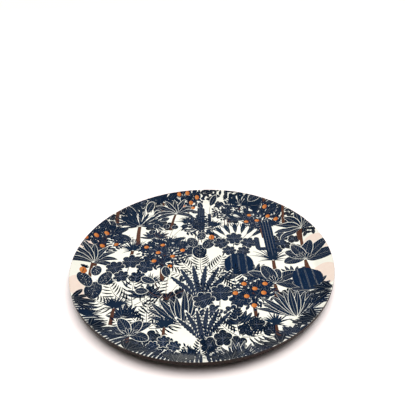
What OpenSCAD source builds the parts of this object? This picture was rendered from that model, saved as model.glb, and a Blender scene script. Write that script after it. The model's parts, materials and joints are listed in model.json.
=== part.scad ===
// Round serving tray pressed from five birch veneers, with a printed melamine face,
// a plain backing and a sealed cut edge. Millimetres, +Z up, underside on Z = 0.

/* [Tray] */
// Diameter over the sealed edge
tray_d = 380; // [300:1:500]
// Height from the table to the top of the rim
tray_h = 20; // [16:1:30]
// Slope of the rim above the horizontal, in degrees
rim_angle = 32; // [28:1:45]
// Inside radius of the bend between floor and rim
bend_r = 12; // [8:1:24]

/* [Laminate] */
// Thickness of one veneer
veneer_t = 0.6; // [0.5:0.05:0.8]
// Thickness of one glue film between two veneers
glue_t = 0.1; // [0.08:0.01:0.15]
// Thickness of the clear melamine overlay on the printed face
overlay_t = 0.1; // [0.08:0.01:0.2]
// Thickness of the printed paper
print_t = 0.2; // [0.1:0.05:0.3]
// Thickness of the plain backing sheet that balances the print
backing_t = 0.3; // [0.2:0.05:0.5]
// Thickness of the lacquer that seals the cut edge
seal_t = 0.2; // [0.1:0.05:0.4]

/* [Smoothness] */
// Straight steps in the bend's arc
bend_steps = 14; // [8:1:24]
// Sides of the round preview
round_sides = 240; // [120:12:360]

/* [Hidden] */
// The stack from the printed face down: each entry is one sheet's thickness
stack = [
    overlay_t, print_t,
    veneer_t, glue_t, veneer_t, glue_t, veneer_t, glue_t, veneer_t, glue_t, veneer_t,
    backing_t
];
laminate_t = depth(len(stack));

// The printed face in section: flat floor, bend, straight slope. Every sheet is cut off upright at cut_r.
cut_r = tray_d / 2 - seal_t;
slope_rise = tray_h - laminate_t - bend_r * (1 - cos(rim_angle));
slope_run = slope_rise / tan(rim_angle);
floor_r = cut_r - slope_run - bend_r * sin(rim_angle);
bend_centre = [floor_r, laminate_t + bend_r];

// Depth of the top of sheet i below the printed face, measured square to the surface
function depth(i) = i == 0 ? 0 : depth(i - 1) + stack[i - 1];

// A point on the bend, d below the printed face, turned through a degrees
function bend_point(d, a) = bend_centre + (bend_r + d) * [sin(a), -cos(a)];

// The end, on the upright cut, of the surface that lies d below the printed face
function end_point(d) = [cut_r, tray_h - d / cos(rim_angle)];

// The whole section line that lies d below the printed face, from the centre outwards
function section_line(d) = concat(
    [[0, laminate_t - d]],
    [for (i = [0 : bend_steps]) bend_point(d, rim_angle * i / bend_steps)],
    [end_point(d)]
);

function reversed(list) = [for (i = [len(list) - 1 : -1 : 0]) list[i]];

// One sheet of the stack as a full dish
module sheet(i) {
    outline = concat(section_line(depth(i)), reversed(section_line(depth(i + 1))));
    rotate_extrude($fn = round_sides) polygon(outline);
}

module wear_overlay() {
    color("ivory", 0.4) sheet(0);
}

module printed_paper() {
    color("midnightblue") sheet(1);
}

module face_veneer_upper() {
    color("burlywood") sheet(2);
}

module glue_film_1() {
    color("sienna") sheet(3);
}

module cross_veneer_upper() {
    color("wheat") sheet(4);
}

module glue_film_2() {
    color("sienna") sheet(5);
}

module core_veneer() {
    color("burlywood") sheet(6);
}

module glue_film_3() {
    color("sienna") sheet(7);
}

module cross_veneer_lower() {
    color("wheat") sheet(8);
}

module glue_film_4() {
    color("sienna") sheet(9);
}

module face_veneer_lower() {
    color("burlywood") sheet(10);
}

module backing_sheet() {
    color("saddlebrown") sheet(11);
}

// Lacquer on the cut edge, over the ends of all the sheets
module edge_seal() {
    outwards = [seal_t, 0];
    top = end_point(0);
    bottom = end_point(laminate_t);
    outline = [top, bottom, bottom + outwards, top + outwards];
    color("black") rotate_extrude($fn = round_sides) polygon(outline);
}

wear_overlay();
printed_paper();
face_veneer_upper();
glue_film_1();
cross_veneer_upper();
glue_film_2();
core_veneer();
glue_film_3();
cross_veneer_lower();
glue_film_4();
face_veneer_lower();
backing_sheet();
edge_seal();
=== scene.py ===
import cmath
import json
import math
import random

import bpy
import numpy as np
from mathutils import Matrix, Vector
from mathutils.geometry import delaunay_2d_cdt


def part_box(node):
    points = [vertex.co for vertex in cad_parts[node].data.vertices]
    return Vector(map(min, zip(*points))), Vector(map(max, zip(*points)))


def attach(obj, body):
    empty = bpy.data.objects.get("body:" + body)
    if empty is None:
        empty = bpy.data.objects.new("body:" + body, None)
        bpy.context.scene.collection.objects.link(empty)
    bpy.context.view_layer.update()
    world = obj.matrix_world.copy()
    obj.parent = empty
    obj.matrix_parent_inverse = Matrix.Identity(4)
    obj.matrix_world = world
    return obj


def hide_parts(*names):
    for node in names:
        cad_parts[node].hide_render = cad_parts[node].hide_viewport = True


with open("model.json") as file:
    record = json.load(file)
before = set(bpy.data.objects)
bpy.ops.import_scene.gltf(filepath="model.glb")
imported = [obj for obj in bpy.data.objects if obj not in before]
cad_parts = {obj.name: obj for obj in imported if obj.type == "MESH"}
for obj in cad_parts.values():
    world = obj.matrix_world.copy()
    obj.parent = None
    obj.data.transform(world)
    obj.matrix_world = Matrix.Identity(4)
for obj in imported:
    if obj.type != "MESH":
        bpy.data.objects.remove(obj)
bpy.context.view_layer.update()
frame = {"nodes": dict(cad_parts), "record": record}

# ---------------------------------------------------------------- the tray's section, from the frame
MM = 0.001
RIM_ANGLE = math.radians(32)
BEND_R = 0.012
_, face_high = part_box("wear_overlay")
FACE_R = face_high.x
FACE_Z = face_high.z
FLOOR_Z = next(m["pos_m"][2] for m in frame["record"]["mounts"] if m["name"] == "serving_face")
BEND_RUN = BEND_R * math.sin(RIM_ANGLE)
BEND_RISE = BEND_R * (1 - math.cos(RIM_ANGLE))
FLOOR_R = FACE_R - BEND_RUN - (FACE_Z - FLOOR_Z - BEND_RISE) / math.tan(RIM_ANGLE)
ROUND_STEPS = 288


def face_height(radius):
    """Height of the printed face at those radii: flat floor, bend, then the rim's straight slope."""
    into_bend = np.clip(radius - FLOOR_R, 0, BEND_RUN)
    up_slope = np.clip(radius - FLOOR_R - BEND_RUN, 0, None)
    return FLOOR_Z + BEND_R - np.sqrt(BEND_R**2 - into_bend**2) + up_slope * math.tan(RIM_ANGLE)


def face_tilt(radius):
    """Slope of the printed face at those radii, as an angle above the horizontal."""
    return np.arcsin(np.clip(radius - FLOOR_R, 0, BEND_RUN) / BEND_R)


# ---------------------------------------------------------------- camera, floor and light
CAMERA_PLACE = (0.0083, -0.5198, 0.4372)
CAMERA_PITCH = math.radians(32.41)
CAMERA_ROLL = math.radians(-2.16)
FOCAL_MM = 39.51

ahead = Vector((0, math.cos(CAMERA_PITCH), -math.sin(CAMERA_PITCH)))
level_up = Vector((0, math.sin(CAMERA_PITCH), math.cos(CAMERA_PITCH)))
level_right = Vector((1, 0, 0))
camera_right = math.cos(CAMERA_ROLL) * level_right + math.sin(CAMERA_ROLL) * level_up
camera_up = math.cos(CAMERA_ROLL) * level_up - math.sin(CAMERA_ROLL) * level_right
camera_data = bpy.data.cameras.new("camera")
camera_data.lens = FOCAL_MM
camera_data.sensor_width = 36
camera_data.clip_end = 60
camera = bpy.data.objects.new("camera", camera_data)
camera_turn = Matrix((camera_right, camera_up, -ahead)).transposed().to_4x4()
camera.matrix_world = Matrix.Translation(CAMERA_PLACE) @ camera_turn
bpy.context.scene.collection.objects.link(camera)
bpy.context.scene.camera = camera
bpy.context.scene.view_settings.view_transform = "Standard"


def aim(lamp, direction, target=(0, 0, 0.01), distance=4.0, mirrored=True):
    """Stands a lamp off the target in a direction and turns it to face it. mirrored lets gloss reflect it."""
    away = Vector(direction).normalized()
    lamp.location = Vector(target) + distance * away
    lamp.rotation_euler = (-away).to_track_quat("-Z", "Y").to_euler()
    lamp.visible_camera = False
    lamp.visible_glossy = mirrored
    bpy.context.scene.collection.objects.link(lamp)


def soft_sun(name, direction, power, degrees, colour):
    """A very wide, soft source far away."""
    data = bpy.data.lights.new(name, "SUN")
    data.energy = power
    data.angle = math.radians(degrees)
    data.color = colour
    lamp = bpy.data.objects.new(name, data)
    aim(lamp, direction, mirrored=False)
    return lamp


def softbox(name, direction, distance, width, height, watts, colour):
    """A rectangular studio light that the tray's gloss mirrors."""
    data = bpy.data.lights.new(name, "AREA")
    data.shape = "RECTANGLE"
    data.size = width
    data.size_y = height
    data.energy = watts
    data.color = colour
    aim(bpy.data.objects.new(name, data), direction, distance=distance)


def light_only(lamp, name, parts, state):
    """Makes a lamp reach only some objects, or all but some."""
    group = bpy.data.collections.new(name)
    for part in parts:
        group.objects.link(part)
    for member in group.collection_objects:
        member.light_linking.link_state = state
    lamp.light_linking.receiver_collection = group


# The backlights light only the floor: the high one stands almost overhead, and the low one throws the
# tray's soft shadow towards the viewer. The overhead light is for the tray itself.
BACKLIGHT = (1.0, 0.90, 0.88)
high_backlight = soft_sun("high_backlight", (0.10, -0.02, 0.995), 3.05, 60, BACKLIGHT)
low_backlight = soft_sun("low_backlight", (0.13, 0.31, 0.94), 1.25, 66, BACKLIGHT)
overhead_light = soft_sun("overhead_light", (0.02, 0.04, 1.0), 3.75, 90, (1.0, 0.995, 0.985))
softbox("back_panel", (0.0, 0.88, 0.47), 2.5, 1.9, 0.75, 0.8, (0.97, 0.99, 1.0))
softbox("softbox_right", (0.51, -0.04, 0.86), 1.2, 0.40, 0.40, 1.6, (1.0, 0.99, 0.97))
softbox("softbox_left", (-0.62, 0.18, 0.76), 1.2, 0.30, 0.40, 0.9, (0.98, 0.99, 1.0))


# ---------------------------------------------------------------- the print: how shapes and plants are drawn
# The print is a generic botanical one of the builder's own drawing. It is laid out in plan, in millimetres,
# as complex numbers: +real is the tray's right and +imag its back. Each shape is an outline in one ink, and
# a later shape covers an earlier one.
PRINT_SEED = 7
PRINT_R = 189
draw = random.Random(PRINT_SEED)
art = []


def polar(length, degrees):
    """A step of that length in that direction: 0 degrees points right and 90 points to the back."""
    return length * cmath.exp(1j * math.radians(degrees))


def direction(step):
    """The direction of a step, in degrees."""
    return math.degrees(cmath.phase(step))


def put(ink, outline, base=0j, axis=1 + 0j, half=1.0, bow=0.0):
    """Adds a shape. Its veins or ribs follow axis from base, and half is its half width."""
    shape = {"ink": ink, "outline": outline, "base": base, "axis": axis, "half": half, "bow": bow}
    shape["shade"] = draw.random()
    art.append(shape)


def leaf(ink, base, tip, width, bow=0.0, skew=1.0, power=0.8, steps=7, rim=0.0):
    """A leaf. bow bends it sideways, skew over 1 moves its belly to the tip, a low power makes its
    ends blunt, and rim leaves a margin of bare paper round it."""
    axis = tip - base
    if rim:
        reach = rim * axis / abs(axis)
        leaf("paper", base - reach, tip + reach, width + 2 * rim, bow, skew, power, steps)
    left, right = [], []
    for i in range(steps + 1):
        t = 0.5 - 0.5 * math.cos(math.pi * i / steps)
        centre = base + axis * (t + 4j * bow * t * (1 - t))
        heading = axis * (1 + 4j * bow * (1 - 2 * t))
        across = 1j * heading / abs(heading)
        half = 0.5 * width * max(math.sin(math.pi * t**skew), 0.0) ** power
        left.append(centre + half * across)
        right.append(centre - half * across)
    put(ink, left + right[-2:0:-1], base, axis, width / 2, bow)


def arc(start, stop, bow, steps=8):
    """Points from start to stop on a curve that bows sideways by that share of its length."""
    axis = stop - start
    return [start + axis * (i / steps + 4j * bow * i / steps * (1 - i / steps)) for i in range(steps + 1)]


def stroke(ink, points, first_width, last_width):
    """A tapered stem, trunk or line through points."""
    count = len(points)
    left, right = [], []
    for i, point in enumerate(points):
        heading = points[min(i + 1, count - 1)] - points[max(i - 1, 0)]
        across = 1j * heading / abs(heading)
        half = 0.5 * (first_width + (last_width - first_width) * i / (count - 1))
        left.append(point + half * across)
        right.append(point - half * across)
    put(ink, left + right[::-1], points[0], points[-1] - points[0], max(first_width, last_width) / 2)


def stem(ink, foot, tip, width, bow=0.03):
    stroke(ink, arc(foot, tip, bow, 6), width, 0.7 * width)


def blob(ink, centre, across, along, lobes=0, depth=0.0, turn=0.0, rim=0.0):
    """A rounded mass, scalloped by that many lobes."""
    if rim:
        blob("paper", centre, across + rim, along + rim, lobes, depth, turn)
    spin = cmath.exp(1j * math.radians(turn))
    steps = max(20, 8 * lobes)
    outline = []
    for i in range(steps):
        angle = 2 * math.pi * i / steps
        grow = 1 - depth + depth * abs(math.cos(lobes * angle / 2)) ** 0.7 if lobes else 1.0
        outline.append(centre + spin * grow * complex(across * math.cos(angle), along * math.sin(angle)))
    put(ink, outline, centre - 1j * along * spin, 2j * along * spin, across)


def spiral(count, across, along, turn=0.0):
    """Places spread evenly over an ellipse, on a sunflower's spiral."""
    spin = cmath.exp(1j * math.radians(turn))
    for i in range(count):
        place = polar(math.sqrt((i + 0.5) / count), 137.5 * i)
        yield spin * complex(across * place.real, along * place.imag)


# ---- parts of plants

def blades(ink, hub, reach, start, stop, count, width, inner=0.1, rim=0.0, power=0.8, skew=1.2):
    """Straight blades round a hub, from one direction to another."""
    for i in range(count):
        angle = start + (stop - start) * i / max(1, count - 1) + draw.uniform(-2, 2)
        length = reach * draw.uniform(0.86, 1.06)
        root = hub + polar(inner * reach, angle)
        leaf(ink, root, hub + polar(length, angle), width, 0.0, skew, power, rim=rim)


def tuft(ink, hub, reach, start, stop, count, width=1.5, bow=0.1):
    """Thin grassy blades that spring from one point and bow outwards."""
    middle = (start + stop) / 2
    for i in range(count):
        angle = start + (stop - start) * (i + draw.uniform(-0.4, 0.4)) / max(1, count - 1)
        length = reach * draw.uniform(0.6, 1.05)
        side = bow * (middle - angle) / max(1, stop - start) * 2
        leaf(ink, hub + polar(0.04 * reach, angle), hub + polar(length, angle), width, side, 0.7, 0.9, 5)


def frayed_blade(ink, hub, tip, width, strands=5, bow=0.0, first=0.06):
    """A palm blade that is solid near the hub and splits into strands towards the tip."""
    axis = tip - hub
    leaf(ink, hub + first * axis, hub + 0.86 * axis, width, bow, 1.25, 0.8)
    for i in range(strands):
        share = 2 * i / (strands - 1) - 1
        root = hub + axis * (0.45 + 4j * bow * 0.25) + 0.22j * width * share * axis / abs(axis)
        end = hub + axis * draw.uniform(0.86, 1.08) * cmath.exp(1j * share * 1.1 * width / abs(axis))
        leaf(ink, root, end, 0.24 * width, 0.03 * share, 0.8, 0.9, 4)


def frond(ink, base, tip, bow, pairs, length, width, gap=0.0, splay=42.0, rib="line", first=0.1, droop=0.08):
    """A thin rib with pairs of leaflets. With a gap the leaflets stand free of the rib."""
    stroke(rib, arc(base, tip, bow, 10), 1.1, 0.4)
    axis = tip - base
    for i in range(pairs):
        t = first + (1 - first) * (i + 0.5) / pairs
        foot = base + axis * (t + 4j * bow * t * (1 - t))
        heading = direction(axis * (1 + 4j * bow * (1 - 2 * t)))
        size = length * (0.30 + 0.70 * math.sin(math.pi * min(1.0, 0.22 + 0.78 * t)))
        for side in (-1, 1):
            turn = heading + side * (splay - 10 * t)
            end = foot + polar(gap + size, turn)
            leaf(ink, foot + polar(gap, turn), end, width, droop * side, 0.85, 0.7, 4)
    leaf(ink, tip, tip + polar(0.7 * length, heading), width, steps=4)


def foliage(ink, centre, across, along, spacing, size, turn=0.0, rim=0.22, wild=75.0, slim=0.52):
    """A tree's head: many small leaves that point roughly outwards."""
    count = int(math.pi * across * along / spacing**2)
    for place in spiral(count, across, along, turn):
        place += polar(0.3 * spacing * draw.random(), draw.uniform(0, 360))
        heading = direction(place + 0.25j * along) + draw.uniform(-wild, wild)
        length = size * draw.uniform(0.75, 1.2)
        leaf(ink, centre + place - polar(length / 2, heading), centre + place + polar(length / 2, heading),
             slim * length, 0.07 * draw.uniform(-1, 1), 1.0, 0.75, 5, rim)


def fruits(centre, across, along, count, size, turn=0.0):
    """Round fruit spread over a tree's head, each in a dark ring."""
    for place in spiral(count, across, along, turn):
        place += centre + polar(3.0 * draw.random(), draw.uniform(0, 360))
        leaf("dark", place - 0.6 * size, place + polar(2.1 * size, draw.uniform(40, 140)), 0.9 * size)
        blob("dark", place - 0.3 + 0.4j, size * 1.14, size * 1.14)
        blob("orange", place, size, size * draw.uniform(0.92, 1.04))


def spines(points, size, spacing):
    """Short ticks on both sides of a line, as on a cactus rib."""
    for i in range(len(points) - 1):
        step = points[i + 1] - points[i]
        count = max(1, int(abs(step) / spacing))
        for k in range(count):
            place = points[i] + step * (k + 0.5) / count
            along = step / abs(step)
            for side in (-1j, 1j):
                tick = size * draw.uniform(0.6, 1.2) * along
                put("line", [place - 0.15 * tick, place + tick * (0.5 + side), place + 0.25 * tick])


# ---- whole plants

def trunk(foot, top, first_width, last_width, bow=0.02):
    stroke("bark", arc(foot, top, bow, 8), first_width, last_width)


def bud(place, size):
    """An orange bud with a little crown of leaves."""
    blades("dark", place + 0.9j * size, 1.9 * size, 50, 130, 5, 0.6 * size)
    blob("orange", place, size, 1.35 * size)
    leaf("bark", place - 1.3j * size, place + 1.1j * size, 0.25 * size)


def column_cactus(foot, top, width, ribs=4, ink="ribbed"):
    """A column with a domed top, ribs and rows of spines."""
    axis = top - foot
    along = axis / abs(axis)
    across = 1j * along * width / 2
    dome = [top + across * cmath.exp(-1j * math.pi * i / 10) for i in range(11)]
    put(ink, [foot + across * 0.8, foot + 0.3 * axis + across * 0.94] + dome
        + [foot + 0.3 * axis - across * 0.94, foot - across * 0.8], foot, axis, width / 2)
    for i in range(ribs):
        offset = across * ((2 * i + 1) / ribs - 1)
        spines([foot + 0.04 * axis + offset * 0.9, top + offset * 0.9], 0.055 * width + 0.35, 0.35 * width)


def arm(ink, root, elbow, tip, width):
    """A cactus arm that leaves the column sideways and turns up."""
    bend = [root + (elbow - root) * i / 4 for i in range(4)]
    into_bend = root + 0.75 * (elbow - root)
    out_of_bend = elbow + 0.3 * (tip - elbow)
    for i in range(6):
        t = i / 5
        bend.append((1 - t) ** 2 * into_bend + 2 * t * (1 - t) * elbow + t**2 * out_of_bend)
    stroke(ink, bend + [tip], width, width)
    blob(ink, tip, width / 2, width / 2)
    spines(bend[4:] + [tip], 0.8, 3.0)


def barrel_cactus(centre, across, along, ribs=7):
    """A round cactus whose ribs bulge like a pumpkin's, with spines along them."""
    blob("ribbed", centre, across, along)
    for i in range(ribs):
        share = 2 * (i + 0.5) / ribs - 1
        rib = arc(centre - 0.92j * along, centre + 0.92j * along, -0.5 * share * across / along, 10)
        stroke("slate", rib, 0.9, 0.9)
        spines(rib[1:-1], 0.7, 3.4)
    tuft("navy", centre + 0.95j * along, 5.5, 20, 160, 9, 1.1)


def paddles(places):
    """Flat cactus pads. Each place is (centre, half width, half height, lean)."""
    for centre, across, along, lean in places:
        blob("navy", centre, across, along, turn=lean, rim=0.45)
        for spot in spiral(9, 0.75 * across, 0.75 * along, lean):
            blob("paper", centre + spot, 0.42, 0.42)


def agave(hub, reach, start, stop, count, width, ink="navy"):
    """Stout pointed blades with a margin of bare paper."""
    order = sorted(range(count), key=lambda i: -abs(i - (count - 1) / 2))
    for i in order:
        angle = start + (stop - start) * i / max(1, count - 1)
        tip = hub + polar(reach * draw.uniform(0.85, 1.08), angle)
        leaf(ink, hub, tip, width, 0.05 * draw.uniform(-1, 1), 0.85, 0.75, rim=0.6)


def serrated_finger(foot, tip, width):
    """An upright cactus finger with a saw-toothed outline."""
    axis = tip - foot
    along = axis / abs(axis)
    teeth = max(4, int(abs(axis) / (0.75 * width)))
    left, right = [], []
    for i in range(2 * teeth + 1):
        t = i / (2 * teeth)
        body = math.sin(math.pi * min(1.0, 0.28 + 0.72 * t) ** 1.15) ** 0.45 if t < 1 else 0.0
        half = 0.5 * width * body * (1.18 if i % 2 else 0.80)
        left.append(foot + axis * t + 1j * along * half)
        right.append(foot + axis * t - 1j * along * half)
    grown = [foot + (p - foot) * (1 + 0.6 / width) for p in left + right[::-1]]
    put("paper", grown)
    put("ribbed", left + right[::-1], foot, axis, width / 2)


def broadleaf(ink, base, tip, width, bow=0.05, rim=0.7):
    leaf(ink, base, tip, width, bow, 1.15, 0.55, 12, rim)


def lobed_leaf(place, size, turn, lobes=7, ink="navy"):
    """A scalloped leaf with three pale ribs."""
    blob(ink, place, size, size * draw.uniform(0.86, 1.0), lobes, 0.30, turn, rim=0.7)
    stroke("line", arc(place - polar(0.75 * size, turn), place + polar(0.6 * size, turn), 0.04, 4), 0.6, 0.3)
    for side in (-42, 42):
        side_rib = arc(place - polar(0.2 * size, turn), place + polar(0.55 * size, turn + side), 0.04, 3)
        stroke("line", side_rib, 0.4, 0.25)


def round_rim(radius, start, stop, count):
    """Evenly spaced places on a circle about the tray's centre, with the direction of each."""
    angles = [start + (stop - start) * i / (count - 1) for i in range(count)]
    return [(polar(radius, angle), angle) for angle in angles]


# ---- the kinds of plant that a row is made of. Each stands on foot and is about size mm tall.

def fan_palm(foot, size, ink="slate"):
    hub = foot + draw.uniform(-0.05, 0.05) * size + 0.50j * size
    trunk(foot, hub, 0.075 * size, 0.055 * size)
    for angle in range(-24, 205, 19):
        reach = size * draw.uniform(0.42, 0.54)
        droop = 0.20 * math.copysign(1, 90 - angle) if abs(angle - 90) > 60 else 0.02
        frayed_blade(ink, hub, hub + polar(reach, angle + draw.uniform(-3, 3)), 0.062 * size, 3, droop)
    blades("navy", hub, 0.2 * size, -10, 190, 11, 0.03 * size)


def feather_palm(foot, size, ink="navy"):
    hub = foot + draw.uniform(-0.08, 0.08) * size + 0.56j * size
    trunk(foot, hub, 0.06 * size, 0.045 * size)
    for angle in (-24, 8, 38, 66, 94, 122, 152, 182, 208):
        bow = 0.18 * math.cos(math.radians(angle))
        tip = hub + polar(0.44 * size * draw.uniform(0.9, 1.1), angle)
        leaf(ink, hub, tip, 0.11 * size, bow, 1.0, 0.7, 9, 0.6)


def stemmed_fan(foot, size, ink="slate"):
    for angle in range(42, 140, 16):
        hub = foot + polar(0.42 * size, angle)
        stem(ink, foot, hub + polar(0.08 * size, angle), 1.3, 0.02)
        frayed_blade(ink, hub, hub + polar(0.52 * size, angle), 0.11 * size, 5)


def tuft_palm(foot, size, ink="slate"):
    hub = foot + 0.5j * size
    trunk(foot, hub, 0.09 * size, 0.07 * size)
    tuft(ink, hub, 0.55 * size, 22, 158, 15, 2.2)
    tuft(ink, hub, 0.34 * size, -12, 192, 12, 1.8)


def fruit_tree(foot, size):
    head = foot + 0.66j * size
    trunk(foot, head, 0.07 * size, 0.045 * size)
    for twig in range(12):
        stem("navy", head - 0.2j * size, head + polar(0.30 * size, 30 * twig), 1.0, 0.04)
    foliage("navy", head, 0.41 * size, 0.39 * size, 5.9, 9.6, rim=0.0, slim=0.5)
    fruits(head, 0.37 * size, 0.35 * size, 7, 3.7, draw.uniform(0, 360))


def round_bush(foot, size):
    head = foot + 0.62j * size
    for side in (-0.05, 0.0, 0.05):
        stem("bark", foot + 1.4 * side * size, head + side * size - 0.2j * size, 1.5, 0.02)
    blob("dark", head, 0.14 * size, 0.15 * size, 9, 0.2)
    foliage("navy", head, 0.38 * size, 0.40 * size, 5.7, 9.2, rim=0.0, slim=0.5)


def cactus(foot, size):
    column_cactus(foot, foot + 0.9j * size, 0.19 * size, 5)
    for side, low, high in ((1, 0.34, 0.66), (-1, 0.22, 0.50)):
        root = foot + side * 0.08 * size + low * 1j * size
        elbow = root + side * 0.13 * size
        arm("ribbed", root, elbow, elbow + (high - low) * 1j * size, 0.085 * size)


def round_cactus(foot, size):
    blades("navy", foot + 0.10j * size, 0.5 * size, -20, 200, 9, 0.14 * size, power=0.6, rim=0.3)
    barrel_cactus(foot + 0.50j * size, 0.36 * size, 0.40 * size)


def pad_cactus(foot, size):
    turn = draw.choice((-1, 1))
    places = [(foot + 0.24j * size, 0.17 * size, 0.26 * size, 0)]
    places.append((foot + (0.22 * turn + 0.52j) * size, 0.14 * size, 0.21 * size, -28 * turn))
    places.append((foot + (-0.17 * turn + 0.60j) * size, 0.13 * size, 0.20 * size, 20 * turn))
    places.append((foot + (0.05 * turn + 0.84j) * size, 0.11 * size, 0.16 * size, -8 * turn))
    paddles(places)
    bud(foot + (0.30 * turn + 0.78j) * size, 0.07 * size)


def finger_cactus(foot, size):
    for angle in (50, 132, 66, 114, 82, 98):
        serrated_finger(foot, foot + polar(size * draw.uniform(0.78, 1.0), angle), 0.12 * size)


def fern(foot, size, ink="dark"):
    for angle, bow in ((90, 0.05), (128, 0.1), (52, -0.1), (160, 0.14), (20, -0.14)):
        tip = foot + polar(0.8 * size * draw.uniform(0.85, 1.1), angle)
        root = foot + polar(0.05 * size, angle)
        frond(ink, root, tip, bow, 8, 0.25 * size, 2.6, gap=1.1, splay=54, rib=ink)


def sword_plant(foot, size):
    agave(foot, size, 18, 162, 13, 0.17 * size)


def lobed_shrub(foot, size):
    tops = ((0.0, 0.86, 0.26), (-0.36, 0.66, 0.24), (0.36, 0.64, 0.24), (-0.17, 0.34, 0.2), (0.2, 0.3, 0.2))
    for across, up, share in tops:
        top = foot + (across + 1j * up) * size
        stem("navy", foot, top, 1.5, 0.05)
        lobed_leaf(top, share * size, 90 - 60 * across)


def broad_plant(foot, size):
    hub = foot + 0.42j * size
    stroke("bark", arc(foot, hub, 0.02, 8), 0.14 * size, 0.045 * size)
    for angle in (-12, 190, 30, 148, 66, 112):
        tip = hub + polar(size * draw.uniform(0.40, 0.60), angle + draw.uniform(-8, 8))
        broadleaf("navy", hub, tip, size * draw.uniform(0.20, 0.28), 0.10 * math.cos(math.radians(angle)))
    blades("navy", hub, 0.22 * size, 20, 160, 7, 0.05 * size, rim=0.3)


def stemmed_leaves(foot, size):
    for angle, reach in ((146, 0.72), (34, 0.74), (118, 0.88), (62, 0.84), (90, 1.0)):
        top = foot + polar(0.68 * reach * size, angle)
        stem("bark", foot, top, 0.9, 0.05)
        broadleaf("navy", top, foot + polar(1.05 * reach * size, angle + draw.uniform(-12, 12)), 0.19 * size)


def mist_plant(foot, size):
    for angle, bow in ((34, 0.30), (146, -0.30), (56, 0.24), (124, -0.24)):
        leaf("mist", foot, foot + polar(0.8 * size, angle), 0.26 * size, bow, 0.9, 0.6, 14, 0.5)
    stemmed_fan(foot, size)


def berry_stalks(foot, size):
    for angle in (60, 78, 97, 115, 132):
        top = foot + polar(size * draw.uniform(0.66, 0.92), angle)
        stem("bark", foot, top, 0.8, 0.05)
        blob("navy", top, 0.09 * size, 0.10 * size, rim=0.3)
    for angle in (24, 156):
        broadleaf("navy", foot, foot + polar(0.5 * size, angle), 0.16 * size)


def undergrowth(foot, size):
    """One of three low plants that fill the gaps in a row."""
    kind = draw.randrange(3)
    if kind == 0:
        tuft("slate", foot, size, 12, 168, 21, 2.4)
    elif kind == 1:
        blades("navy", foot, size, 14, 166, 9, 0.2 * size, power=0.7)
    else:
        for angle in (150, 30, 90):
            lobed_leaf(foot + polar(0.6 * size, angle), 0.42 * size, angle, 5, "dark")


def garden(back, plants, sway=5.0):
    """A row of plants: they share out the chord that lies that far behind the tray's middle."""
    half = math.sqrt(PRINT_R**2 - back**2)
    for i in range(len(plants) + 1):
        across = half * (2 * i / len(plants) - 1)
        foot = complex(across + draw.uniform(-sway, sway), back + draw.uniform(-8, 16))
        if draw.random() < 0.5:
            undergrowth(foot, draw.uniform(24, 32))
    for i, (plant, size) in enumerate(plants):
        across = half * ((2 * i + 1) / len(plants) - 1)
        foot = complex(across + draw.uniform(-sway, sway), back + draw.uniform(-11, 11))
        plant(foot, size * draw.uniform(0.98, 1.08))


# ---------------------------------------------------------------- the print: what stands where, back to front
# The rows and their order are the builder's own. The places within a row are a rule's: see garden().
for place, angle in round_rim(176, -14, 8, 2) + round_rim(174, 168, 196, 2):
    blob("blush", place, 19, 25, turn=angle)

# leaves that hang in from the rim, behind everything else
for place, angle in round_rim(184, 22, 158, 12):
    foliage("dark", place, 18, 13, 6.0, 11, angle + 90, 0.0)

garden(132, ((lobed_shrub, 50), (fan_palm, 66), (fruit_tree, 62), (stemmed_leaves, 50), (fan_palm, 62),
             (broad_plant, 54)))
garden(92, ((fan_palm, 84), (stemmed_leaves, 60), (feather_palm, 82), (cactus, 66), (round_bush, 66),
            (mist_plant, 72), (feather_palm, 84)))
garden(50, ((broad_plant, 76), (fan_palm, 104), (berry_stalks, 58), (round_bush, 70), (stemmed_fan, 66),
            (fruit_tree, 84), (tuft_palm, 62)))
garden(8, ((fruit_tree, 92), (tuft_palm, 70), (mist_plant, 70), (pad_cactus, 66), (lobed_shrub, 60),
           (cactus, 92), (feather_palm, 90)))
garden(-34, ((feather_palm, 84), (lobed_shrub, 62), (fruit_tree, 96), (fern, 68), (round_cactus, 58),
             (tuft_palm, 66), (broad_plant, 76)))
garden(-76, ((pad_cactus, 66), (fern, 72), (stemmed_leaves, 66), (finger_cactus, 70), (fern, 66),
             (broad_plant, 72), (round_cactus, 56)))
garden(-118, ((tuft_palm, 60), (fern, 64), (sword_plant, 54), (lobed_shrub, 62), (fruit_tree, 76),
              (sword_plant, 54)))
garden(-152, ((broad_plant, 58), (tuft_palm, 52), (finger_cactus, 60), (fern, 54), (tuft_palm, 50)))
garden(-176, ((lobed_shrub, 34), (fern, 44), (sword_plant, 36)))

# grass and clumps that follow the front of the rim and point inwards
for place, angle in round_rim(192, 205, 335, 88):
    if draw.random() < 0.8:
        top = polar(draw.uniform(158, 168), angle + draw.uniform(-0.8, 0.8))
        leaf(draw.choice(("ribbed", "navy")), place, top, 4.3, 0.03, 0.7, 0.45, 6)
for place, angle in round_rim(192, 205, 335, 8):
    blades("dark", place, draw.uniform(26, 34), angle + 132, angle + 228, 5, 6.4, power=0.6)


# ---------------------------------------------------------------- from shapes to surfaces
FACE_R_MM = FACE_R / MM
FORM_SPARE = {"base": 0j, "axis": 1 + 0j, "half": 1.0, "bow": 0.0, "shade": 0.5}


def ring_radii():
    """Radii, in mm, of the rings of mesh edges that follow the bend and the rim."""
    bend = [FLOOR_R + BEND_R * math.sin(RIM_ANGLE * i / 7) for i in range(8)]
    slope = np.linspace(FLOOR_R + BEND_RUN, FACE_R, 5)[1:]
    return [r / MM for r in bend] + [r / MM for r in slope]


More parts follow.
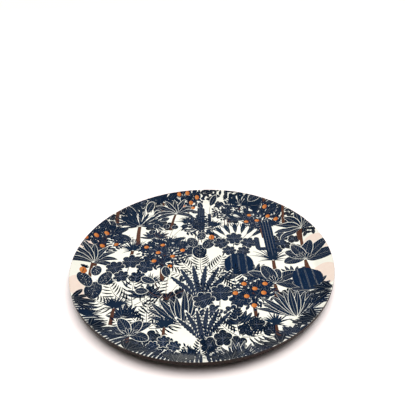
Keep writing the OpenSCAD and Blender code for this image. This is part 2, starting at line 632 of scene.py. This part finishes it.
def triangulate():
    """One triangle mesh over the whole face, with an edge along every outline and every ring."""
    points, edges = [], []

    def add_loop(loop):
        first = len(points)
        points.extend(Vector((p.real, p.imag)) for p in loop)
        edges.extend((first + i, first + (i + 1) % len(loop)) for i in range(len(loop)))

    for radius in ring_radii():
        add_loop([polar(radius, 360 * i / ROUND_STEPS) for i in range(ROUND_STEPS)])
    for shape in art:
        add_loop(shape["outline"])
    verts, _, faces, _, _, _ = delaunay_2d_cdt(points, edges, [], 0, 1e-4, False)
    return np.array([complex(v.x, v.y) for v in verts]), np.array(faces)


def holds(outline, places):
    """Which places lie inside an outline, by counting the edges to one side of each."""
    inside = np.zeros(len(places), bool)
    for i, a in enumerate(outline):
        b = outline[i - 1]
        if a.imag == b.imag:
            continue
        cross = a.real + (places.imag - a.imag) / (b.imag - a.imag) * (b.real - a.real)
        inside ^= ((a.imag > places.imag) != (b.imag > places.imag)) & (places.real < cross)
    return inside


def topmost(places):
    """The number of the last shape that covers each place, or -1 for bare paper."""
    order = np.argsort(places.real)
    sorted_x = places.real[order]
    found = np.full(len(places), -1)
    for number, shape in enumerate(art):
        outline = np.array(shape["outline"])
        first, last = np.searchsorted(sorted_x, (outline.real.min(), outline.real.max()))
        near = order[first:last]
        near = near[(places[near].imag > outline.imag.min()) & (places[near].imag < outline.imag.max())]
        found[near[holds(outline, places[near])]] = number
    return found


def shape_values(key, shape_of):
    """One value of its shape for each triangle. Bare paper takes the spare value."""
    return np.array([s[key] for s in art] + [FORM_SPARE[key]])[shape_of]


def surface_piece(name, plan, faces, shape_of):
    """A piece of the printed face: those triangles, bent to the tray's section and shaded smooth.

    Its UV map "drawn" holds mm along and across each shape. Its attribute "form" holds the shape's
    length and half width in mm, and its shade from 0 to 1.
    """
    used, corners = np.unique(faces, return_inverse=True)
    corners = corners.reshape(-1, 3)
    flat = plan[used] * MM
    radius = np.abs(flat)
    mesh = bpy.data.meshes.new(name)
    places = np.column_stack([flat.real, flat.imag, face_height(radius)])
    mesh.from_pydata(places.tolist(), [], corners.tolist())
    outwards = flat / np.maximum(radius, 1e-9)
    tilt = face_tilt(radius)
    normals = np.column_stack([-np.sin(tilt) * outwards.real, -np.sin(tilt) * outwards.imag, np.cos(tilt)])
    mesh.polygons.foreach_set("use_smooth", [True] * len(mesh.polygons))

    axis = shape_values("axis", shape_of)
    length = np.abs(axis)
    local = (plan[faces] - shape_values("base", shape_of)[:, None]) / axis[:, None]
    bow = 4 * shape_values("bow", shape_of)[:, None] * local.real * (1 - local.real)
    drawn = np.stack([local.real, local.imag - bow], -1) * length[:, None, None]
    mesh.uv_layers.new(name="drawn").data.foreach_set("uv", drawn.astype(np.float32).ravel())
    form = np.column_stack([length, shape_values("half", shape_of), shape_values("shade", shape_of), length])
    form = form.repeat(3, axis=0).astype(np.float32)
    mesh.attributes.new("form", "FLOAT_COLOR", "CORNER").data.foreach_set("color", form.ravel())
    mesh.normals_split_custom_set_from_vertices(normals.tolist())
    piece = bpy.data.objects.new(name, mesh)
    bpy.context.scene.collection.objects.link(piece)
    return piece


plan, triangles = triangulate()
centres = plan[triangles].mean(axis=1)
within = holds(np.array([polar(FACE_R_MM, 360 * i / ROUND_STEPS) for i in range(ROUND_STEPS)]), centres)
triangles, centres = triangles[within], centres[within]
owner = topmost(centres)
ink_of = np.array([s["ink"] for s in art] + ["paper"])[owner]
prints = {}
for ink in sorted(set(ink_of)):
    chosen = ink_of == ink
    prints[ink] = surface_piece("print_" + ink, plan, triangles[chosen], owner[chosen])


# ---------------------------------------------------------------- materials
def linear(red, green, blue):
    """A colour given as 0 to 255 screen values, as the linear colour that shaders take."""
    def channel(value):
        value /= 255
        return value / 12.92 if value <= 0.04045 else ((value + 0.055) / 1.055) ** 2.4
    return (channel(red), channel(green), channel(blue), 1.0)


class Paint:
    """A node material. Each method adds a node and gives back its output."""

    def __init__(self, name, roughness=0.3, coat=0.0, coat_roughness=0.1, specular=0.5):
        self.material = bpy.data.materials.new(name)
        self.material.use_nodes = True
        self.tree = self.material.node_tree
        self.shader = next(n for n in self.tree.nodes if n.type == "BSDF_PRINCIPLED")
        self.shader.inputs["Roughness"].default_value = roughness
        self.shader.inputs["Coat Weight"].default_value = coat
        self.shader.inputs["Coat Roughness"].default_value = coat_roughness
        self.shader.inputs["Specular IOR Level"].default_value = specular
        self.place = self.node("ShaderNodeTexCoord").outputs["Object"]

    def node(self, kind, **settings):
        made = self.tree.nodes.new(kind)
        for key, value in settings.items():
            setattr(made, key, value)
        return made

    def feed(self, socket, value):
        """Links a socket to an output, or sets it to a plain value."""
        if isinstance(value, bpy.types.NodeSocket):
            self.tree.links.new(value, socket)
        else:
            socket.default_value = value

    def math(self, operation, first, second=0.0, third=0.0, clamp=False):
        made = self.node("ShaderNodeMath", operation=operation, use_clamp=clamp)
        for socket, value in zip(made.inputs, (first, second, third)):
            self.feed(socket, value)
        return made.outputs[0]

    def ramp(self, value, start, stop, low=0.0, high=1.0):
        """low before start, high after stop, and a smooth passage between."""
        made = self.node("ShaderNodeMapRange", interpolation_type="SMOOTHSTEP")
        for key, item in (("Value", value), ("From Min", start), ("From Max", stop),
                          ("To Min", low), ("To Max", high)):
            self.feed(made.inputs[key], item)
        return made.outputs["Result"]

    def mix(self, factor, first, second):
        made = self.node("ShaderNodeMix", data_type="RGBA", blend_type="MIX")
        self.feed(made.inputs[0], factor)
        self.feed(made.inputs[6], first)
        self.feed(made.inputs[7], second)
        return made.outputs[2]

    def noise(self, scale, detail=3.0, rough=0.55, distort=0.0, place=None):
        made = self.node("ShaderNodeTexNoise")
        self.feed(made.inputs["Vector"], place or self.place)
        self.feed(made.inputs["Scale"], scale)
        self.feed(made.inputs["Detail"], detail)
        self.feed(made.inputs["Roughness"], rough)
        self.feed(made.inputs["Distortion"], distort)
        return made.outputs["Fac"]

    def stretched(self, factors, turn=0.0):
        """Coordinates scaled by a factor on each axis after a turn about the vertical."""
        made = self.node("ShaderNodeMapping")
        self.feed(made.inputs["Vector"], self.place)
        made.inputs["Rotation"].default_value = (0, 0, math.radians(turn))
        made.inputs["Scale"].default_value = factors
        return made.outputs["Vector"]

    def parts(self, vector):
        made = self.node("ShaderNodeSeparateXYZ")
        self.feed(made.inputs[0], vector)
        return made.outputs[0], made.outputs[1], made.outputs[2]

    def drawn(self):
        """mm along and across the drawn shape."""
        along, across, _ = self.parts(self.node("ShaderNodeUVMap", uv_map="drawn").outputs["UV"])
        return along, across

    def form(self):
        """Length and half width of the drawn shape in mm, and its shade."""
        return self.parts(self.node("ShaderNodeAttribute", attribute_name="form").outputs["Vector"])

    def lines(self, value, spacing, width):
        """1 on lines of that width, in the units of value, that repeat at that spacing."""
        gap = self.math("PINGPONG", value, spacing / 2)
        return self.ramp(gap, 0.35 * width, 0.75 * width, 1.0, 0.0)

    def bump(self, height, strength, distance):
        made = self.node("ShaderNodeBump")
        made.inputs["Strength"].default_value = strength
        made.inputs["Distance"].default_value = distance
        self.feed(made.inputs["Height"], height)
        return made.outputs["Normal"]

    def finish(self, colour=None, roughness=None, normal=None):
        for key, value in (("Base Color", colour), ("Roughness", roughness), ("Normal", normal)):
            if value is not None:
                self.feed(self.shader.inputs[key], value)
        return self.material


def resin_face(paint, colour, roughness=0.21):
    """Finishes a printed surface: fine scratches, finger marks and the faint ripple of pressed resin."""
    scratches = None
    for turn, share in ((17, 0.70), (74, 0.71), (131, 0.72)):
        streak = paint.noise(1.0, 2.0, 0.5, place=paint.stretched((1700, 22, 1), turn))
        streak = paint.ramp(streak, share, share + 0.05)
        scratches = streak if scratches is None else paint.math("MAXIMUM", scratches, streak)
    smears = paint.noise(26, 4.0, 0.6, 0.6)
    rough = paint.math("MULTIPLY_ADD", paint.ramp(smears, 0.42, 0.68), 0.10, roughness - 0.04)
    rough = paint.math("MULTIPLY_ADD", scratches, 0.16, rough)
    ripple = paint.noise(420, 2.0, 0.5)
    fibre = paint.noise(3200, 2.0, 0.6)
    height = paint.math("MULTIPLY_ADD", fibre, 0.25, ripple)
    height = paint.math("MULTIPLY_ADD", scratches, -0.6, height)
    colour = paint.mix(paint.math("MULTIPLY", scratches, 0.05), colour, linear(214, 212, 206))
    return paint.finish(colour, rough, paint.bump(height, 0.16, 0.00006))


def ink_colour(paint, dark, pale, shade):
    """An ink that is laid on a little unevenly, and that varies from shape to shape."""
    coarse = paint.noise(150, 3.0, 0.6)
    grain = paint.noise(2400, 2.0, 0.7)
    amount = paint.math("MULTIPLY", shade, 0.45)
    amount = paint.math("MULTIPLY_ADD", paint.ramp(coarse, 0.35, 0.70), 0.30, amount)
    amount = paint.math("MULTIPLY_ADD", paint.ramp(grain, 0.45, 0.75), 0.25, amount, clamp=True)
    return paint.mix(amount, dark, pale)


PAPER = linear(238, 237, 225)
RESIN_SPECULAR = 0.30


def leaf_ink(name, dark, pale, vein_spacing, vein_strength):
    """Ink for leaves, with a midrib and slanting side veins left in thin pale lines."""
    paint = Paint(name, specular=RESIN_SPECULAR)
    along, across = paint.drawn()
    _, half, shade = paint.form()
    aside = paint.math("ABSOLUTE", across)
    reach = paint.math("DIVIDE", aside, half)
    slant = paint.math("SUBTRACT", along, paint.math("MULTIPLY", aside, 1.1))
    midrib = paint.ramp(aside, 0.12, 0.34, 1.0, 0.0)
    veins = paint.lines(slant, vein_spacing, 0.30)
    veins = paint.math("MULTIPLY", veins, paint.ramp(reach, 0.55, 0.95, 1.0, 0.0))
    broad = paint.ramp(half, 4.0, 6.5)
    marks = paint.math("MAXIMUM", paint.math("MULTIPLY", midrib, paint.ramp(half, 1.8, 3.5)),
                       paint.math("MULTIPLY", veins, broad))
    marks = paint.math("MULTIPLY", marks, vein_strength)
    colour = ink_colour(paint, dark, pale, shade)
    return resin_face(paint, paint.mix(marks, colour, PAPER))


def ribbed_ink(name, dark, pale, ribs, strength):
    """Ink for cacti and striped leaves, with pale ribs that run along each shape."""
    paint = Paint(name, specular=RESIN_SPECULAR)
    along, across = paint.drawn()
    _, half, shade = paint.form()
    reach = paint.math("DIVIDE", across, half)
    rib = paint.lines(reach, 2.0 / ribs, 0.34 / ribs)
    dashes = paint.ramp(paint.math("PINGPONG", along, 1.3), 0.25, 0.5)
    marks = paint.math("MULTIPLY", paint.math("MULTIPLY", rib, dashes), strength)
    colour = ink_colour(paint, dark, pale, shade)
    return resin_face(paint, paint.mix(marks, colour, PAPER))


def plain_ink(name, dark, pale):
    paint = Paint(name, specular=RESIN_SPECULAR)
    _, _, shade = paint.form()
    return resin_face(paint, ink_colour(paint, dark, pale, shade))


def bark_ink(name, dark, pale):
    """Ink for trunks: rings and flecks across the stem."""
    paint = Paint(name, specular=RESIN_SPECULAR)
    along, _ = paint.drawn()
    _, _, shade = paint.form()
    wander = paint.noise(500, 2.0, 0.6)
    rings = paint.lines(paint.math("MULTIPLY_ADD", wander, 1.6, along), 1.5, 0.5)
    colour = ink_colour(paint, dark, pale, shade)
    colour = paint.mix(paint.math("MULTIPLY", rings, 0.55), colour, linear(58, 34, 34))
    return resin_face(paint, colour)


def fruit_ink(name, deep, bright):
    """Ink for fruit: brighter to one side, with fine stippling."""
    paint = Paint(name, specular=RESIN_SPECULAR)
    _, across = paint.drawn()
    _, half, _ = paint.form()
    side = paint.math("DIVIDE", across, half)
    stipple = paint.noise(2600, 1.0, 0.5)
    amount = paint.math("MULTIPLY_ADD", stipple, 0.5, paint.math("MULTIPLY", side, 0.35))
    return resin_face(paint, paint.mix(paint.ramp(amount, -0.1, 0.6), deep, bright))


def mist_ink(name, dark):
    """Ink that fades to the paper through ever finer stippling, across each frond."""
    paint = Paint(name, specular=RESIN_SPECULAR)
    along, across = paint.drawn()
    _, half, _ = paint.form()
    fade = paint.ramp(paint.math("DIVIDE", across, half), -0.9, 0.9)
    stipple = paint.noise(2200, 1.0, 0.5)
    hatch = paint.lines(along, 1.1, 0.5)
    amount = paint.math("MULTIPLY_ADD", paint.math("SUBTRACT", stipple, 0.5), 0.5, fade)
    amount = paint.math("MULTIPLY_ADD", hatch, 0.12, amount, clamp=True)
    return resin_face(paint, paint.mix(amount, PAPER, dark))


def paper_material():
    """Cream decor paper: faint fibre clouding under the resin."""
    paint = Paint("decor_paper", specular=RESIN_SPECULAR)
    cloud = paint.noise(60, 5.0, 0.6)
    fleck = paint.noise(1900, 3.0, 0.7)
    amount = paint.math("MULTIPLY_ADD", fleck, 0.5, paint.math("MULTIPLY", cloud, 0.5))
    cream = paint.mix(paint.ramp(amount, 0.3, 0.7), linear(233, 232, 219), linear(240, 238, 227))
    return resin_face(paint, cream)


INKS = {
    "paper": paper_material(),
    "navy": leaf_ink("ink_navy", linear(8, 25, 47), linear(17, 36, 60), 4.2, 0.24),
    "dark": leaf_ink("ink_dark", linear(6, 19, 36), linear(13, 29, 47), 4.2, 0.16),
    "slate": leaf_ink("ink_slate", linear(15, 31, 50), linear(26, 43, 63), 3.4, 0.18),
    "ribbed": ribbed_ink("ink_ribbed", linear(7, 26, 50), linear(17, 39, 66), 4, 0.16),
    "orange": fruit_ink("ink_orange", linear(178, 94, 42), linear(208, 134, 72)),
    "bark": bark_ink("ink_bark", linear(74, 47, 37), linear(106, 70, 53)),
    "blush": plain_ink("ink_blush", linear(232, 212, 198), linear(240, 224, 210)),
    "mist": mist_ink("ink_mist", linear(40, 50, 76)),
    "line": plain_ink("ink_line", linear(60, 70, 96), linear(110, 118, 138)),
}


def birch(name, grain_turn):
    """Peeled birch veneer: pale wood with long grain, growth bands and small dark flecks."""
    paint = Paint(name, roughness=0.5)
    grain = paint.noise(1.0, 5.0, 0.6, 0.4, paint.stretched((14, 620, 620), grain_turn))
    bands = paint.noise(1.0, 3.0, 0.5, 1.2, paint.stretched((5, 60, 60), grain_turn))
    flecks = paint.noise(1.0, 2.0, 0.5, place=paint.stretched((90, 900, 900), grain_turn))
    flecks = paint.ramp(flecks, 0.68, 0.76)
    colour = paint.mix(paint.ramp(bands, 0.3, 0.7), linear(216, 186, 144), linear(232, 208, 170))
    darker = paint.math("MULTIPLY", paint.ramp(grain, 0.45, 0.7), 0.4)
    colour = paint.mix(darker, colour, linear(182, 146, 104))
    colour = paint.mix(paint.math("MULTIPLY", flecks, 0.5), colour, linear(128, 90, 62))
    rough = paint.ramp(grain, 0.3, 0.7, 0.42, 0.62)
    return paint.finish(colour, rough, paint.bump(grain, 0.35, 0.0001))


def glue():
    """Set phenolic glue: a dark red-brown film with wood fibre in it."""
    paint = Paint("glue_film", roughness=0.4)
    cloud = paint.noise(90, 4.0, 0.6)
    fibre = paint.noise(1.0, 3.0, 0.6, place=paint.stretched((60, 900, 900), 30))
    colour = paint.mix(paint.ramp(cloud, 0.35, 0.65), linear(62, 30, 20), linear(92, 48, 30))
    return paint.finish(colour, paint.ramp(fibre, 0.3, 0.7, 0.3, 0.5), paint.bump(fibre, 0.2, 0.00005))


def backing():
    """The dark brown backing sheet: satin resin with a fine pressed texture and rubbed high spots."""
    paint = Paint("backing_sheet", roughness=0.42, coat=0.15, coat_roughness=0.3)
    cloud = paint.noise(34, 4.0, 0.6, 0.3)
    cells = paint.node("ShaderNodeTexVoronoi", feature="DISTANCE_TO_EDGE")
    paint.feed(cells.inputs["Vector"], paint.place)
    cells.inputs["Scale"].default_value = 900
    emboss = paint.ramp(cells.outputs["Distance"], 0.02, 0.16)
    scuffs = paint.ramp(paint.noise(1.0, 3.0, 0.6, place=paint.stretched((420, 18, 420), 28)), 0.66, 0.74)
    colour = paint.mix(paint.ramp(cloud, 0.35, 0.65), linear(38, 26, 20), linear(54, 38, 29))
    colour = paint.mix(paint.math("MULTIPLY", scuffs, 0.25), colour, linear(104, 84, 68))
    rough = paint.math("MULTIPLY_ADD", scuffs, 0.15, paint.ramp(cloud, 0.3, 0.7, 0.36, 0.50))
    return paint.finish(colour, rough, paint.bump(emboss, 0.3, 0.00005))


def sealed_edge():
    """The lacquered edge: the plies' lines show faintly through dark brown lacquer, rubbed here and there."""
    paint = Paint("edge_lacquer", roughness=0.5, specular=0.12)
    _, _, height = paint.parts(paint.place)
    wander = paint.noise(60, 3.0, 0.6)
    plies = paint.lines(paint.math("MULTIPLY_ADD", wander, 0.0006, height), 0.00070, 0.0003)
    cloud = paint.noise(120, 4.0, 0.65)
    rubbed = paint.ramp(paint.noise(46, 5.0, 0.7), 0.64, 0.76)
    colour = paint.mix(paint.ramp(cloud, 0.3, 0.7), linear(30, 19, 17), linear(48, 32, 27))
    colour = paint.mix(paint.math("MULTIPLY", plies, 0.35), colour, linear(22, 13, 10))
    colour = paint.mix(paint.math("MULTIPLY", rubbed, 0.25), colour, linear(104, 76, 54))
    rough = paint.math("MULTIPLY_ADD", rubbed, 0.2, paint.ramp(cloud, 0.3, 0.7, 0.44, 0.58))
    return paint.finish(colour, rough, paint.bump(plies, 0.25, 0.00008))


def set_finish(nodes, material):
    """Gives CAD nodes a material."""
    for name in nodes:
        part = frame["nodes"][name]
        part.data.materials.clear()
        part.data.materials.append(material)


birch_along = birch("birch_long_grain", 0)
birch_across = birch("birch_cross_grain", 90)
set_finish(["face_veneer_upper", "core_veneer", "face_veneer_lower"], birch_along)
set_finish(["cross_veneer_upper", "cross_veneer_lower"], birch_across)
set_finish(["glue_film_1", "glue_film_2", "glue_film_3", "glue_film_4"], glue())
set_finish(["backing_sheet"], backing())
set_finish(["edge_seal"], sealed_edge())
set_finish(["printed_paper"], INKS["paper"])

for ink, piece in prints.items():
    piece.data.materials.append(INKS[ink])
    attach(piece, "root")
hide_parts("wear_overlay")

# ---------------------------------------------------------------- floor and surroundings
FLOOR_SPAN = 14.0


def floor_material():
    """Pale studio floor: a smooth white board with the faintest clouding."""
    paint = Paint("studio_floor", roughness=0.6, specular=0.2)
    cloud = paint.noise(1.2, 3.0, 0.5)
    return paint.finish(paint.mix(cloud, (0.90, 0.90, 0.90, 1), (0.92, 0.92, 0.915, 1)))


span = FLOOR_SPAN / 2
floor_mesh = bpy.data.meshes.new("studio_floor")
floor_corners = [(-span, -span, 0), (span, -span, 0), (span, span, 0), (-span, span, 0)]
floor_mesh.from_pydata(floor_corners, [], [(0, 1, 2, 3)])
floor_mesh.materials.append(floor_material())
floor = bpy.data.objects.new("studio_floor", floor_mesh)
bpy.context.scene.collection.objects.link(floor)
light_only(high_backlight, "floor_for_high_backlight", [floor], "INCLUDE")
light_only(low_backlight, "floor_for_low_backlight", [floor], "INCLUDE")
light_only(overhead_light, "floor_kept_from_overhead", [floor], "EXCLUDE")

world = bpy.data.worlds.new("studio")
world.use_nodes = True
bpy.context.scene.world = world
links = world.node_tree.links
nodes = world.node_tree.nodes
nodes.clear()
dim = nodes.new("ShaderNodeBackground")
bright = nodes.new("ShaderNodeBackground")
path = nodes.new("ShaderNodeLightPath")
join = nodes.new("ShaderNodeMixShader")
out = nodes.new("ShaderNodeOutputWorld")
dim.inputs["Color"].default_value = (1, 1, 1, 1)
dim.inputs["Strength"].default_value = 0.016
bright.inputs["Color"].default_value = (1, 1, 1, 1)
bright.inputs["Strength"].default_value = 1.05
links.new(path.outputs["Is Camera Ray"], join.inputs[0])
links.new(dim.outputs[0], join.inputs[1])
links.new(bright.outputs[0], join.inputs[2])
links.new(join.outputs[0], out.inputs["Surface"])
